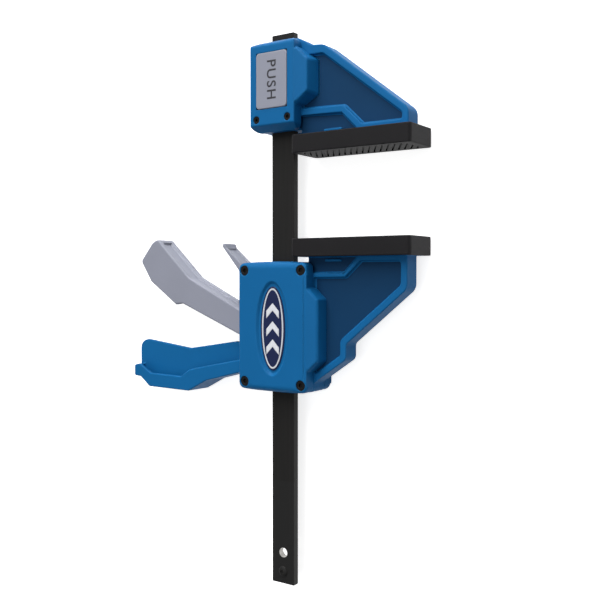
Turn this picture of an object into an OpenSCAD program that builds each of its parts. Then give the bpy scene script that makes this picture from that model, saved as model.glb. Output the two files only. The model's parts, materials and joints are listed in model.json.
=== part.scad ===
// Bar clamp. A flat steel bar carries a fixed jaw near one end. A moving jaw with a
// pistol handle, a trigger and a release lever walks along it.
// X points from the bar to the jaw tips, Y along the bar towards the fixed jaw, Z to the
// side with the push button. The origin is the centre of the lock hole in the free end.

/* [Bar] */
// Length of the bar
bar_l = 416; // [400:1:440]
// Width of the bar
bar_w = 20; // [19:0.5:20.5]
// Thickness of the bar
bar_t = 5.6; // [5:0.1:6]
// Distance from each end of the bar to its lock hole
hole_up = 23.6; // [22:0.1:25]
// Diameter of the lock holes
hole_d = 7.4; // [6.6:0.1:8]
// Distance from the free end to the stop rivet
stop_up = 9.2; // [8:0.1:11]
// Diameter of the stop rivet's heads
stop_head_d = 8; // [7:0.5:9]
// Height of the stop rivet's heads
stop_head_h = 1.6; // [1.2:0.1:2]
// Diameter of the stop rivet's shank
stop_shank_d = 5; // [4:0.5:6]

/* [Placement] */
// Opening between the pads as shown
opening = 62; // [20:1:80]
// Length of bar that stands out above the fixed jaw
bar_over = 6.5; // [4:0.5:10]

/* [Shells] */
// Half the depth of both housings, from the bar's middle to the outer face
half_depth = 17.5; // [17.3:0.1:19]
// Half the thickness of the jaw mouldings between the covers
core_half = 7.7; // [7.5:0.1:8.2]
// Half the thickness of the thin web inside the jaw arms
web_half = 4.6; // [4:0.1:5.4]
// Wall thickness of the covers
cover_wall = 2.6; // [2.2:0.1:2.8]
// Rounding of the covers' long edges
cover_round = 3; // [2:0.1:3.4]
// Rounding of the bulges beside the covers
bulge_round = 2; // [1.2:0.1:2.4]
// Rounding of the covers' upper and lower ends
crown_r = 5; // [4:0.1:6]
// How deep the screw heads lie below the covers' outer face
screw_sink = 0.5; // [0.3:0.1:0.8]
// Width of the raised rim round the arms
rim_w = 4.9; // [4.2:0.1:5.6]

/* [Moving jaw] */
// Height of the moving jaw's housing
housing_h = 98; // [92:0.5:106]
// How far the middle of the housing's ends stands out from their corners
end_arch = 1.4; // [0.6:0.1:2]
// Left edge of the housing, from the bar's middle
housing_left = 32; // [31.5:0.5:33]
// Right edge of the housing, from the bar's middle
housing_right = 30.8; // [30.5:0.1:31.5]
// Distance of the cover screws from the bar's middle
screw_out = 25.6; // [25.4:0.1:26]
// Distance of the cover screws from the housing's ends
screw_in = 7; // [6.6:0.1:7.4]
// Diameter of the cover screw heads
screw_head_d = 7.6; // [6.8:0.1:8]
// Diameter of the cover screw shanks
screw_d = 3.4; // [3:0.1:3.6]
// Height of the screw heads
screw_head_h = 3; // [2.4:0.1:3.2]
// Depth of the oval recess in the front cover
oval_deep = 1; // [0.6:0.1:1.4]
// Width of the oval recess
oval_w = 29.8; // [28:0.2:32]
// Length of the oval recess
oval_l = 70.6; // [66:0.2:74]
// Width of the oval inlay
inlay_w = 22; // [18:0.2:25]
// Length of the oval inlay
inlay_l = 62.5; // [56:0.5:64]
// Thickness of the oval inlay
inlay_t = 0.6; // [0.4:0.1:0.9]

/* [Jaw arms] */
// Reach of the arm tips from the bar's middle
arm_reach = 106.8; // [104:0.2:108]
// Height of the moving arm's blunt tip below the pad's seat
tip_h = 23.2; // [20:0.2:25]
// Distance from the bar's middle to the step of the moving arm
step_out = 58.3; // [56:0.1:60]

/* [Pads] */
// Distance from the bar's middle to the near end of the pads
pad_start = 16.8; // [16.6:0.1:17.2]
// Distance from the bar's middle to the far end of the pads
pad_end = 113.7; // [112.5:0.1:116]
// Thickness of the pads along the bar
pad_h = 13.3; // [12.8:0.1:15]
// Half the width of the pads
pad_half = 17.2; // [16.8:0.1:17.2]
// Thickness of the pads' side walls
pad_wall = 3; // [2.6:0.1:3.4]
// Thickness of the pads' gripping face
pad_face = 4; // [3.4:0.1:4.6]
// Number of grooves across each pad
groove_count = 18; // [12:1:20]
// Width of each groove
groove_w = 2; // [1.4:0.1:2.4]
// Depth of each groove
groove_deep = 1.5; // [0.8:0.1:2]

/* [Fixed head] */
// Height of the fixed head
head_h = 68; // [67:0.5:70]
// Half the width of the fixed head
head_half = 20; // [19.6:0.1:20.6]
// Width of the push button
button_w = 27.6; // [26.8:0.1:28.2]
// Length of the push button
button_l = 41.2; // [40:0.1:41.6]
// Height of the button's middle above the head's lower end
button_up = 37.6; // [37.2:0.1:38]
// How far the button stands out of its cover
button_proud = 0.6; // [0.3:0.1:1]
// How far the button is pushed in to free the bar
button_travel = 4.2; // [4:0.1:4.4]
// How deep the lock plunger reaches into the bar
plunger_in = 3.6; // [3:0.1:3.8]
// Distance of the head screws from the bar's middle
head_screw_out = 14; // [13.6:0.1:14.4]
// Height of the head screws above the head's lower end
head_screw_up = 9.4; // [9:0.1:9.8]
// Diameter of the head screws' heads
head_screw_head_d = 5.6; // [5:0.1:6]
// Diameter of the head screws' shanks
head_screw_d = 2.8; // [2.4:0.1:3]

/* [Trigger] */
// Half the width of the trigger
trigger_half = 9.4; // [9:0.1:9.5]
// Wall thickness of the trigger
trigger_wall = 2.6; // [2:0.1:3]
// Depth of the groove along the trigger's back
trigger_groove = 3; // [2:0.1:3.6]
// Half the width of that groove
trigger_groove_half = 5.6; // [4.6:0.1:6]
// Diameter of the trigger's pivot pin
trigger_pin_d = 5; // [4:0.1:5.2]
// Radius of the trigger's hub
trigger_hub_r = 6; // [5.4:0.1:6.2]

/* [Release] */
// Half the width of the release lever
release_half = 7.1; // [6.6:0.1:7.2]
// Diameter of the release lever's pivot pin
release_pin_d = 4; // [3:0.1:4.4]
// Depth of the thumb hollow along the release lever
thumb_deep = 1.4; // [0.8:0.1:1.8]
// Tilt of the brake plate on the bar, in degrees
brake_tilt = 3; // [2:0.2:3.4]

/* [Drive] */
// Thickness of one drive plate
drive_plate_t = 3.1; // [2.6:0.1:3.2]
// Half the width of the drive and brake plates
plate_half = 9; // [8:0.1:9.6]
// Clearance between the plates and the bar
plate_clear = 0.3; // [0.25:0.05:0.4]
// Thickness of the brake plate
brake_plate_t = 3; // [2.6:0.1:3.2]
// Mean radius of the drive spring
drive_spring_r = 11.9; // [11.7:0.1:12.4]
// Wire diameter of the drive spring
drive_wire = 1.6; // [1.2:0.1:1.8]

/* [Handle] */
// Half the width of the handle
handle_half = 12.5; // [12:0.1:14]
// Wall thickness of the handle
handle_wall = 2.6; // [2.2:0.1:2.7]
// Half the thickness of the handle's middle fin
fin_half = 1.7; // [1.4:0.1:2]
// Distance from the bar's middle to the handle's end
handle_reach = 147.4; // [144:0.2:149]

/* [Fits] */
// Sliding clearance between the bar and the jaws, on each side
bar_clear = 0.15; // [0.1:0.05:0.25]
// Radial clearance of the pivot pins
pin_clear = 0.06; // [0.03:0.01:0.1]
// Radial clearance of screws and pins that stay put
screw_clear = 0.05; // [0.02:0.01:0.1]
// Clearance round pieces that are pushed together
seat_clear = 0.15; // [0.1:0.05:0.3]
// Gap between pieces that rest close to each other
rest_gap = 0.3; // [0.2:0.05:0.4]

/* [Hidden] */
$fn = 48;
BLUE = "#226399";
GREY = "#9195a2";
BLACK = "#26262a";
STEEL = "#2e2e2e";
ZINC = "#b4b4b0";
eps = 0.01;
big = 300;
arc_steps = 6;
edge_steps = 3;

// The pad seats lie this far outside the housings
seat_rise = housing_h + 3;
arm_drop = 4.3;
// Heights measured from the free end of the bar
head_base = bar_l - bar_over - head_h;
fixed_grip = head_base - arm_drop - pad_h;
jaw_base = fixed_grip - opening - pad_h - seat_rise;

// Pivots and stops of the moving jaw, from the bar's middle and the housing's lower end.
// The mechanism hangs from the housing's upper end.
shelf_t = 3.5;
shelf_low = housing_h - 37.5;
shelf_high = shelf_low + shelf_t;
trigger_pivot = [-17, shelf_low - 16];
release_pivot = [-18, housing_h - 18];
nose_off = [-7.5, -6.3];
nose_at = trigger_pivot + nose_off;
nose_r = 3;
release_nose_off = [-5.5, -2.9];
release_nose_at = release_pivot + release_nose_off;
release_nose_r = 2;
release_hub_r = 4.5;
screw_places = [
    for (x = [-screw_out, screw_out]) for (y = [screw_in, housing_h - screw_in]) [x, y]
];
head_screw_places = [[-head_screw_out, head_screw_up], [head_screw_out, head_screw_up]];
room_floor = 11.5;
room_left = -27;
room_right = 18.4;
guide_right = 12.4;
trigger_exit = trigger_pivot.y - 15;
release_exit = release_pivot.y - 10.5;
release_room = housing_h - 13;
brake_hinge = [17, shelf_high + 7];
hinge_slot = 2.6;
brake_left = -25.5;
brake_spring_x = -19.5;
brake_spring_r = 2.6;
brake_wire = 0.8;
drive_left = -26;
drive_right = 17.6;
drive_top = nose_at.y - nose_r - rest_gap;
drive_low = drive_top - 2 * drive_plate_t - seat_clear;
drive_pitch = 3.4;

// Pieces inside the fixed head
lock_up = head_h + bar_over - hole_up;
flange_t = 2;
flange_over = 1.4;
button_low = half_depth - cover_wall - flange_t - seat_clear;
leg_t = 2.6;
plate_top = -bar_t / 2 - 0.5;
plunger_plate_t = 2.5;
pocket_end = half_depth - cover_wall;
lock_spring_r = 5.4;
lock_wire = 1.2;

// Outlines are lists of corners [x, y, radius], anticlockwise
function flat(p) = [p[0], p[1]];
function unit(v) = v / norm(v);
function corner_arc(a, b, c) =
    b[2] == 0 ? [flat(b)] :
    let (
        u = unit(flat(a) - flat(b)),
        v = unit(flat(c) - flat(b)),
        half = acos(u * v) / 2,
        centre = flat(b) + unit(u + v) * b[2] / sin(half),
        from = flat(b) + u * b[2] / tan(half) - centre,
        turn = (u[0] * v[1] - u[1] * v[0] < 0 ? 1 : -1) * (180 - 2 * half),
        first = atan2(from[1], from[0])
    )
    [for (i = [0:arc_steps])
        let (a = first + turn * i / arc_steps)
        centre + b[2] * [cos(a), sin(a)]];
function rounded(corners) =
    let (n = len(corners))
    [for (i = [0:n - 1]) each corner_arc(corners[(i + n - 1) % n], corners[i], corners[(i + 1) % n])];
// The outline moved inwards by d
function inset(points, d) =
    let (n = len(points))
    [for (i = [0:n - 1])
        let (
            u = unit(points[i] - points[(i + n - 1) % n]),
            v = unit(points[(i + 1) % n] - points[i]),
            m = unit([-u[1] - v[1], u[0] + v[0]])
        )
        points[i] + m * d / max(0.3, m * [-u[1], u[0]])];
// A line of points moved to its left by d, used for strips that follow an edge
function beside(line, d) =
    let (n = len(line))
    [for (i = [0:n - 1])
        let (
            u = unit(line[min(i + 1, n - 1)] - line[min(i, n - 2)]),
            v = unit(line[max(i, 1)] - line[max(i - 1, 0)]),
            m = unit([-u[1] - v[1], u[0] + v[0]])
        )
        line[i] + m * d / max(0.5, m * [-u[1], u[0]])];
function reversed(list) = [for (i = [len(list) - 1:-1:0]) list[i]];

// A plate between two heights whose edges are rounded above and below
module soft_plate(corners, low, high, low_round, high_round) {
    outline = rounded(corners);
    n = len(outline);
    rings = [
        if (low_round > 0) for (i = [0:edge_steps])
            let (a = 90 * i / edge_steps) [low_round * (1 - sin(a)), low + low_round * (1 - cos(a))],
        if (low_round == 0) [0, low],
        if (high_round == 0) [0, high],
        if (high_round > 0) for (i = [0:edge_steps])
            let (a = 90 * i / edge_steps) [high_round * (1 - cos(a)), high - high_round * (1 - sin(a))]
    ];
    points = [for (ring = rings)
        for (p = inset(outline, ring[0]))
            [p[0], p[1], ring[1]]];
    last = (len(rings) - 1) * n;
    sides = [for (k = [0:len(rings) - 2]) for (i = [0:n - 1])
        [k * n + i, (k + 1) * n + i, (k + 1) * n + (i + 1) % n, k * n + (i + 1) % n]];
    polyhedron(points, concat(sides, [[for (i = [0:n - 1]) i]], [[for (i = [n - 1:-1:0]) last + i]]), 12);
}

// A plain plate between two heights
module plate(corners, low, high) {
    translate([0, 0, low])
        linear_extrude(high - low)
            polygon(rounded(corners));
}

// A body whose side view, in Y and Z, runs from left to right
module across(corners, left, right) {
    translate([left, 0, 0])
        rotate([90, 0, 90])
            linear_extrude(right - left)
                polygon(rounded(corners));
}

// A straight cylinder along Z
module rod(at, r, low, high) {
    translate([at[0], at[1], low])
        cylinder(r = r, h = high - low);
}

// A round-wire spring along Y
module coil(mean_r, wire, length, turns) {
    sides = 8;
    steps = 14;
    n = round(turns * steps);
    rise = length - wire;
    points = [for (i = [0:n]) for (j = [0:sides - 1])
        let (
            a = 360 * i / steps,
            b = 360 * j / sides,
            r = mean_r + wire / 2 * cos(b)
        )
        [r * cos(a), wire / 2 + rise * i / n + wire / 2 * sin(b), r * sin(a)]];
    sleeve = [for (i = [0:n - 1]) for (j = [0:sides - 1])
        [i * sides + j, (i + 1) * sides + j, (i + 1) * sides + (j + 1) % sides, i * sides + (j + 1) % sides]];
    caps = [[for (j = [0:sides - 1]) j], [for (j = [sides - 1:-1:0]) n * sides + j]];
    polyhedron(points, concat(sleeve, caps), 12);
}

module at_bar_end() {
    translate([0, -hole_up, 0])
        children();
}

module at_jaw() {
    at_bar_end()
        translate([0, jaw_base, 0])
            children();
}

module at_head() {
    at_bar_end()
        translate([0, head_base, 0])
            children();
}

// The same shape on both sides of the bar
module both_sides() {
    children();
    mirror([0, 0, 1])
        children();
}

module slot_for_bar(clear) {
    translate([-bar_w / 2 - clear, -big, -bar_t / 2 - clear])
        cube([bar_w + 2 * clear, 2 * big, bar_t + 2 * clear]);
}

// Bar and stop

module bar() {
    chamfer = 0.5;
    color(STEEL)
        at_bar_end()
            difference() {
                plate([
                    [-bar_w / 2, 0, chamfer], [bar_w / 2, 0, chamfer],
                    [bar_w / 2, bar_l, chamfer], [-bar_w / 2, bar_l, chamfer]
                ], -bar_t / 2, bar_t / 2);
                for (y = [hole_up, bar_l - hole_up])
                    rod([0, y], hole_d / 2, -big, big);
                rod([0, stop_up], stop_shank_d / 2 + screw_clear, -big, big);
            }
}

module stop_rivet() {
    dimple_r = stop_head_d / 5;
    color(STEEL)
        at_bar_end()
            translate([0, stop_up, 0])
                difference() {
                    union() {
                        cylinder(r = stop_shank_d / 2, h = bar_t, center = true);
                        both_sides()
                            translate([0, 0, bar_t / 2])
                                rotate_extrude()
                                    intersection() {
                                        scale([1, 2 * stop_head_h / stop_head_d])
                                            circle(d = stop_head_d);
                                        square(stop_head_d);
                                    }
                    }
                    both_sides()
                        rod([0, 0], dimple_r, bar_t / 2 + stop_head_h / 3, big);
                }
}

// Arms of the jaws. Both are plates with a deep pocket inside a rim and a bent rib
// beside the pad. The moving arm also steps in towards the foot of its housing.

arm_tip_r = 8;
foot_grip = 3;
// The arch's corner lies outside the housing by what its rounding takes away
arch_r = 400;
arch_low = -0.4;
neck_right = 24;
tip_low = seat_rise - tip_h;
// Heights of the bent rib: the seat's upper pocket wall and the rib's two faces
rib_top = seat_rise - 3.2;
rib_low = housing_h - 12.2;
rib_high = housing_h - 9.2;
jaw_outline = [
    [-housing_left, end_arch, 5], [0, arch_low, arch_r], [housing_right, end_arch, 4],
    [housing_right, 8.2, 0],
    [step_out, 26.9, 5], [step_out, 37.8, 4], [arm_reach, tip_low, arm_tip_r],
    [arm_reach, seat_rise + foot_grip, 0], [neck_right, seat_rise + foot_grip, 0],
    [neck_right, housing_h - arch_low - (end_arch - arch_low) * neck_right / housing_right, 0],
    [0, housing_h - arch_low, arch_r], [-housing_left, housing_h - end_arch, 5]
];
jaw_pocket = [
    [housing_right, rib_low, 1.5], [housing_right, 14.4, 1.5],
    [step_out - rim_w, 29.4, 4], [step_out - rim_w, 40.4, 4],
    [arm_reach - rim_w, tip_low + 2.6, 6], [arm_reach - rim_w, rib_top, 3], [70, rib_top, 3],
    [57.4, rib_low + 0.3, 3]
];
jaw_side_pocket = [
    [20, rib_high, 0], [56.2, rib_high + 0.4, 3], [71.8, seat_rise + 4, 0], [20, seat_rise + 4, 0]
];
head_outline = [
    [-head_half, 1, 6], [18, 1, 0], [18, -arm_drop, 0], [22, -arm_drop, 0],
    [22, -arm_drop - foot_grip, 0], [arm_reach + 0.6, -arm_drop - foot_grip, 0],
    [arm_reach + 0.6, 7.5, arm_tip_r], [39.4, 60.2, 12], [29, 61.2, 3], [17, head_h, 5],
    [-head_half, head_h, 6]
];
head_pocket = [
    [head_half, 54.4, 1.5], [head_half, 16, 1.5], [56, 14.6, 4], [71.3, 0, 3],
    [arm_reach + 0.6 - rim_w, 0, 2], [arm_reach + 0.6 - rim_w, 5, 4], [38.6, 54, 5]
];
head_side_pocket = [
    [12, -arm_drop - 4, 0], [72.6, -arm_drop - 4, 0], [54.3, 9.4, 3], [head_half, 11, 0], [12, 11, 0]
];

module cut_pockets(pockets) {
    both_sides()
        for (pocket = pockets)
            plate(pocket, web_half, big);
}

// The pad's seat: a flat foot that fills the pad's hollow
module pad_foot(low, high) {
    x0 = pad_start + pad_wall + seat_clear;
    x1 = pad_end - pad_wall - seat_clear;
    z1 = pad_half - pad_wall - seat_clear;
    foot_r = 2;
    translate([0, low, 0])
        rotate([-90, 0, 0])
            plate([[x0, -z1, foot_r], [x1, -z1, foot_r], [x1, z1, foot_r], [x0, z1, foot_r]], 0, high - low);
}

// The little bar that the pad's edge snaps over
module snap_bar(x0, x1, y) {
    snap_h = 1.6;
    snap_r = 0.7;
    both_sides()
        plate([[x0, y, snap_r], [x1, y, snap_r], [x1, y + snap_h, snap_r], [x0, y + snap_h, snap_r]],
            web_half - 1, core_half - 1);
}

// The pad, lying on its open side with its gripping face at height pad_h
module pad() {
    border = 4.5;
    corner_r = 3;
    edge_r = 0.6;
    pitch = (pad_end - pad_start - 2 * border) / groove_count;
    x0 = pad_start + pad_wall;
    x1 = pad_end - pad_wall;
    inner = pad_half - pad_wall;
    color(BLACK)
        difference() {
            rotate([-90, 0, 0])
                soft_plate([
                    [pad_start, -pad_half, corner_r], [pad_end, -pad_half, corner_r],
                    [pad_end, pad_half, corner_r], [pad_start, pad_half, corner_r]
                ], 0, pad_h, edge_r, edge_r);
            rotate([-90, 0, 0])
                plate([[x0, -inner, 2], [x1, -inner, 2], [x1, inner, 2], [x0, inner, 2]], -1, pad_h - pad_face);
            for (i = [0:groove_count - 1])
                translate([pad_start + border + (i + 0.5) * pitch - groove_w / 2, pad_h - groove_deep, border - pad_half])
                    cube([groove_w, pad_h, 2 * (pad_half - border)]);
        }
}

module fixed_pad() {
    at_head()
        translate([0, -arm_drop, 0])
            mirror([0, 1, 0])
                pad();
}

module moving_pad() {
    at_jaw()
        translate([0, seat_rise, 0])
            pad();
}

// Fixed head

bulge_drop = 1.5;
button_hole = [button_w / 2 + rest_gap, button_l / 2 + rest_gap];
head_window = [button_w / 2 + flange_over + rest_gap, button_l / 2 + flange_over + rest_gap];

module fixed_jaw() {
    color(BLUE)
        at_head()
            difference() {
                union() {
                    difference() {
                        plate(head_outline, -core_half, core_half);
                        cut_pockets([head_pocket, head_side_pocket]);
                    }
                    pad_foot(-arm_drop - pad_h + pad_face, -arm_drop);
                    snap_bar(39, 54, -2.4);
                }
                slot_for_bar(bar_clear);
                // Room for the button's legs and the lock plunger
                translate([-head_window[0], button_up - button_l / 2, -big])
                    cube([2 * head_window[0], button_l, 2 * big]);
                for (place = head_screw_places)
                    rod(place, head_screw_d / 2 + screw_clear, -big, big);
            }
}

head_crown = [
    [-1, 0, 0], [head_h + 1, 0, 0], [head_h + 1, core_half, 0], [head_h - 3.5, half_depth, 3],
    [5.2, half_depth, 1.5], [0, core_half + 2, 3], [-1, core_half, 0]
];
head_bulge = [
    [14, 14, 0], [22.6, 18.7, 4], [34.6, 24.2, 3], [34.6, head_h - 17.4, 3], [22.6, head_h - 9.1, 4],
    [14, head_h - 6, 0]
];
head_bulge_foot = [
    [head_half + 0.5, 18.8, 1], [34.2, 24.8, 2.6], [34.2, head_h - 17.8, 2.6], [30, head_h - 14.6, 1],
    [head_half + 0.5, head_h - 14.6, 1]
];

// The outside of a head cover: a crowned block with a bulge towards the arm
module head_cover_block() {
    intersection() {
        soft_plate([[-head_half, 0.6, 5], [head_half, 0.6, 5], [head_half, head_h - 1, 5], [-head_half, head_h, 5]],
            core_half, half_depth, 0, 1);
        across(head_crown, -big / 2, big / 2);
    }
    soft_plate(head_bulge, core_half + seat_clear, half_depth - bulge_drop, 0, bulge_round);
    plate(head_bulge_foot, web_half + eps, core_half + 1);
}

module head_cover_hollow() {
    inner = head_half - cover_wall;
    plate([[-inner, 14.6, 2], [inner, 14.6, 2], [inner, head_h - 6, 2], [-inner, head_h - 6, 2]], 0, pocket_end);
}

module head_front_cover() {
    color(BLUE)
        at_head()
            difference() {
                head_cover_block();
                head_cover_hollow();
                translate([-button_hole[0], button_up - button_hole[1], 0])
                    cube([2 * button_hole[0], 2 * button_hole[1], big]);
                for (place = head_screw_places) {
                    rod(place, head_screw_d / 2 + screw_clear, 0, big);
                    rod(place, head_screw_head_d / 2 + seat_clear, half_depth - screw_head_h, big);
                }
            }
}

module head_back_cover() {
    color(BLUE)
        at_head()
            mirror([0, 0, 1])
                difference() {
                    head_cover_block();
                    head_cover_hollow();
                    for (place = head_screw_places)
                        rod(place, head_screw_d / 2 + screw_clear, 0, pocket_end);
                }
}

// A screw with a flat head and a hexagon socket, head up
module screw(shank_d, head_d, end) {
    socket_d = head_d / 2;
    socket_deep = screw_head_h / 2;
    difference() {
        union() {
            rod([0, 0], shank_d / 2, end, half_depth - screw_head_h);
            rod([0, 0], head_d / 2, half_depth - screw_head_h, half_depth - screw_sink);
        }
        translate([0, 0, half_depth - screw_sink - socket_deep])
            cylinder(d = socket_d, h = big, $fn = 6);
    }
}

module head_screws() {
    color(BLACK)
        at_head()
            for (place = head_screw_places)
                translate(place)
                    screw(head_screw_d, head_screw_head_d, rest_gap - pocket_end);
}

module push_button() {
    w = button_w / 2;
    l = button_l / 2;
    corner_r = 2.6;
    leg_l = 24;
    color(GREY)
        at_head()
            translate([0, button_up, 0]) {
                soft_plate([[-w, -l, corner_r], [w, -l, corner_r], [w, l, corner_r], [-w, l, corner_r]],
                    button_low + flange_t / 2, half_depth + button_proud, 0, 0.6);
                plate([
                    [-w - flange_over, -l - flange_over, 1], [w + flange_over, -l - flange_over, 1],
                    [w + flange_over, l + flange_over, 1], [-w - flange_over, l + flange_over, 1]
                ], button_low, button_low + flange_t);
                for (side = [-1, 1])
                    translate([side * (w - leg_t / 2) - leg_t / 2, l - leg_l, plate_top])
                        cube([leg_t, leg_l, button_low - plate_top + eps]);
            }
}

module lock_plunger() {
    w = button_w / 2;
    l = button_l / 2;
    plate_l = 30;
    color(ZINC)
        at_head() {
            plate([
                [-w, button_up + l - plate_l, 1], [w, button_up + l - plate_l, 1],
                [w, button_up + l - 1, 1], [-w, button_up + l - 1, 1]
            ], plate_top - plunger_plate_t, plate_top);
            rod([0, lock_up], hole_d / 2 - pin_clear * 2, plate_top - eps, plunger_in - bar_t / 2);
        }
}

module lock_spring() {
    length = pocket_end + plate_top - plunger_plate_t;
    color(ZINC)
        at_head()
            translate([0, button_up, -pocket_end])
                rotate([90, 0, 0])
                    coil(lock_spring_r, lock_wire, length, 4);
}

// Moving jaw

handle_top = [
    [-handle_reach, 12.2], [-141, 13.5], [-129.1, 6.2], [-95.2, 5.6], [-85.8, 11.9], [-35.7, 22.2]
];
handle_low = [
    [-handle_reach, 3], [-140.5, 2.6], [-130.5, -5.1], [-87, -5.7], [-68.6, 3.8], [-35.7, 12.1]
];

handle_fin = [
    [-handle_reach - 3, 7, 0], [-140, 0, 0], [-68, 6, 0], [-housing_left, 16, 0], [-housing_left, 29, 0],
    [-38, 30, 3], [-45, 35.7, 4], [-94.5, 27.9, 12], [-142, 33.4, 9], [-handle_reach - 3, 31.5, 7.5]
];

module handle() {
    x_join = -housing_left;
    shell = concat(
        [for (p = handle_low) [p[0], p[1], p[0] == -handle_reach ? 1.5 : 3]],
        [[x_join, 13, 0], [x_join, 23, 0]],
        [for (p = reversed(handle_top)) [p[0], p[1], p[0] == -handle_reach ? 1.5 : 2.5]]
    );
    floor_line = beside(handle_low, 3.4);
    trough = concat(
        [[-handle_reach + handle_wall, floor_line[0][1]]],
        [for (i = [1:len(floor_line) - 1]) floor_line[i]],
        [[x_join - 1.5, floor_line[5][1] + 1], [x_join - 1.5, 60], [-handle_reach + handle_wall, 60]]
    );
    difference() {
        plate(shell, -handle_half, handle_half);
        both_sides()
            translate([0, 0, fin_half])
                linear_extrude(handle_half - handle_wall - fin_half)
                    polygon(trough);
    }
    plate(handle_fin, -fin_half, fin_half);
    // Root that joins the handle to the moulding between the covers
    plate([[x_join - 6, 13.5, 0], [x_join + 3, 13.5, 0], [x_join + 3, 21, 0], [x_join - 6, 21, 0]],
        0.5 - core_half, core_half - 0.5);
}

module jaw_rooms() {
    slot_low = brake_hinge.y - hinge_slot;
    slot_high = brake_hinge.y + hinge_slot;
    // Lower room for the drive plates and their spring
    plate([
        [room_left, room_floor, 1], [room_right, room_floor, 1], [room_right, drive_top + rest_gap, 1],
        [guide_right, drive_top + rest_gap, 0], [guide_right, shelf_low, 1], [room_left, shelf_low, 1]
    ], -big, big);
    // Way out for the trigger
    plate([
        [-housing_left - 1, trigger_exit, 0], [room_left + 1, trigger_exit, 0], [room_left + 1, shelf_low, 0],
        [-housing_left - 1, shelf_low, 0]
    ], -big, big);
    // Upper room for the brake plate
    plate([
        [room_left, shelf_high, 1], [guide_right, shelf_high, 0], [guide_right, slot_low, 0],
        [room_right, slot_low, 0], [room_right, slot_high, 0], [guide_right, slot_high, 0],
        [guide_right, release_room + 5, 1],
        [-20.5, release_room + 5, 1], [-20.5, release_room, 0], [room_left, release_room, 0]
    ], -big, big);
    // Way out for the release lever
    plate([
        [-housing_left - 1, release_exit, 0], [room_left + 1, release_exit, 0],
        [room_left + 1, release_room, 0],
        [-housing_left - 1, release_room + 2.5, 0]
    ], -big, big);
}

module moving_jaw() {
    color(BLUE)
        at_jaw()
            difference() {
                union() {
                    difference() {
                        plate(jaw_outline, -core_half, core_half);
                        cut_pockets([jaw_pocket, jaw_side_pocket]);
                    }
                    handle();
                    pad_foot(seat_rise, seat_rise + pad_h - pad_face);
                    snap_bar(40, 53.5, seat_rise - 3.6);
                }
                slot_for_bar(bar_clear);
                jaw_rooms();
                for (place = screw_places)
                    rod(place, screw_d / 2 + screw_clear, -big, big);
            }
}

cover_outline = [
    [-housing_left, end_arch, 5], [0, arch_low, arch_r], [housing_right, end_arch, 5],
    [housing_right, housing_h - end_arch, 5], [0, housing_h - arch_low, arch_r],
    [-housing_left, housing_h - end_arch, 5]
];
cover_crown = [
    [-1, 0, 0], [housing_h + 1, 0, 0], [housing_h + 1, core_half, 0], [housing_h, core_half, 0],
    [housing_h - 0.6, half_depth, crown_r], [0.6, half_depth, crown_r], [0, core_half, 0], [-1, core_half, 0]
];
cover_bulge = [
    [20, 12, 0], [housing_right, 16.6, 4], [40.6, 25, 3], [40.6, housing_h - 28, 3],
    [housing_right, housing_h - 15.2, 4], [20, housing_h - 12, 0]
];
cover_bulge_foot = [
    [housing_right + 0.5, 18, 1], [40.2, 25.4, 2.6], [40.2, housing_h - 28.4, 2.6],
    [housing_right + 0.5, housing_h - 16.4, 1]
];

// The outside of a cover of the moving jaw
module cover_block() {
    intersection() {
        soft_plate(cover_outline, core_half, half_depth, 0, cover_round);
        across(cover_crown, -big / 2, big / 2);
    }
    soft_plate(cover_bulge, core_half + seat_clear, half_depth - bulge_drop, 0, bulge_round);
    plate(cover_bulge_foot, web_half + eps, core_half + 1);
}

module cover_shell() {
    w = cover_wall;
    boss_r = 5;
    difference() {
        cover_block();
        difference() {
            plate([
                [w - housing_left, w + end_arch, 3], [housing_right - w, w + end_arch, 3],
                [housing_right - w, housing_h - w - end_arch, 3], [w - housing_left, housing_h - w - end_arch, 3]
            ], 0, pocket_end);
            for (place = screw_places)
                rod(place, boss_r, 0, half_depth);
            // Bosses that hold the ends of the pivot pins
            rod(trigger_pivot, trigger_pin_d / 2 + 2, trigger_half + rest_gap, half_depth);
            rod(release_pivot, release_pin_d / 2 + 2, release_half + rest_gap, half_depth);
        }
        rod(trigger_pivot, trigger_pin_d / 2 + screw_clear, 0, pocket_end - rest_gap);
        rod(release_pivot, release_pin_d / 2 + screw_clear, 0, pocket_end - rest_gap);
        // Notch in the side wall for the trigger
        translate([-housing_left - 1, trigger_exit, 0])
            cube([w + 2, shelf_low - trigger_exit, trigger_half + rest_gap]);
    }
}

module front_cover() {
    color(BLUE)
        at_jaw()
            difference() {
                cover_shell();
                translate([0, housing_h / 2 - 1.2, half_depth - oval_deep])
                    linear_extrude(big)
                        scale([oval_w / oval_l, 1])
                            circle(d = oval_l, $fn = 72);
                for (place = screw_places) {
                    rod(place, screw_d / 2 + screw_clear, 0, big);
                    rod(place, screw_head_d / 2 + seat_clear, half_depth - screw_head_h, big);
                }
            }
}

module back_cover() {
    color(BLUE)
        at_jaw()
            mirror([0, 0, 1])
                difference() {
                    cover_shell();
                    for (place = screw_places)
                        rod(place, screw_d / 2 + screw_clear, 0, pocket_end);
                }
}

module cover_screws() {
    color(BLACK)
        at_jaw()
            for (place = screw_places)
                translate(place)
                    screw(screw_d, screw_head_d, rest_gap - pocket_end);
}

module oval_inlay() {
    color("navy")
        at_jaw()
            translate([0, housing_h / 2 - 1.2, half_depth - oval_deep])
                linear_extrude(inlay_t)
                    scale([inlay_w / inlay_l, 1])
                        circle(d = inlay_l, $fn = 72);
}

// Trigger and drive

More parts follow.
